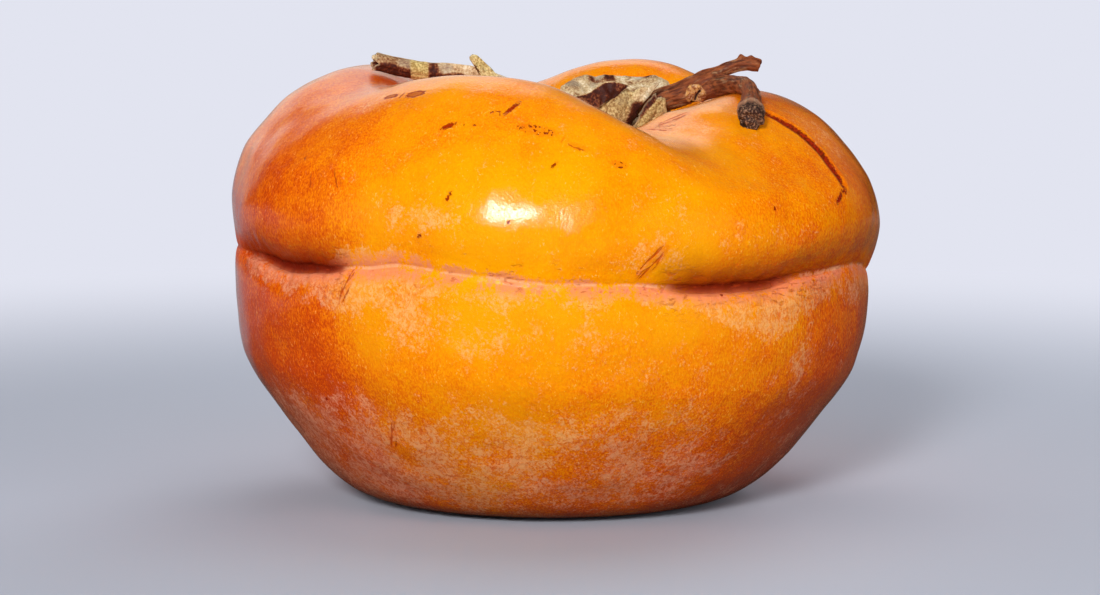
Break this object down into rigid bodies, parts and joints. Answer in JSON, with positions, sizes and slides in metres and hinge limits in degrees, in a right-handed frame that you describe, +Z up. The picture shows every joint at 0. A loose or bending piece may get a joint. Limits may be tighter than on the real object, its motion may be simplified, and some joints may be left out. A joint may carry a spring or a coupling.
{
  "type": "persimmon",
  "caption": "Ripe flattened persimmon with a lobed top and a fold round its waist, a dried calyx in the hollow and a forked woody stalk stub.",
  "frame": {"origin": "middle of the box's base, on the surface that the fruit rests on, which is the plane of the flat resting spot", "axes": "+Z up from the resting spot to the calyx; +X to the side that the stalk leans to, across the widest extent; -Y is the front"},
  "size_m": [0.0946, 0.0914, 0.0645],
  "materials": {
    "fruit": "waxy orange fruit skin, semi-gloss, with a faint pale bloom",
    "calyx": "dry tan and brown leaf, matt and papery",
    "stem": "reddish brown bark, matt"
  },
  "bodies": {
    "root": {"fruit": "fruit", "calyx": "calyx", "stem": "stem"}
  },
  "joints": []
}
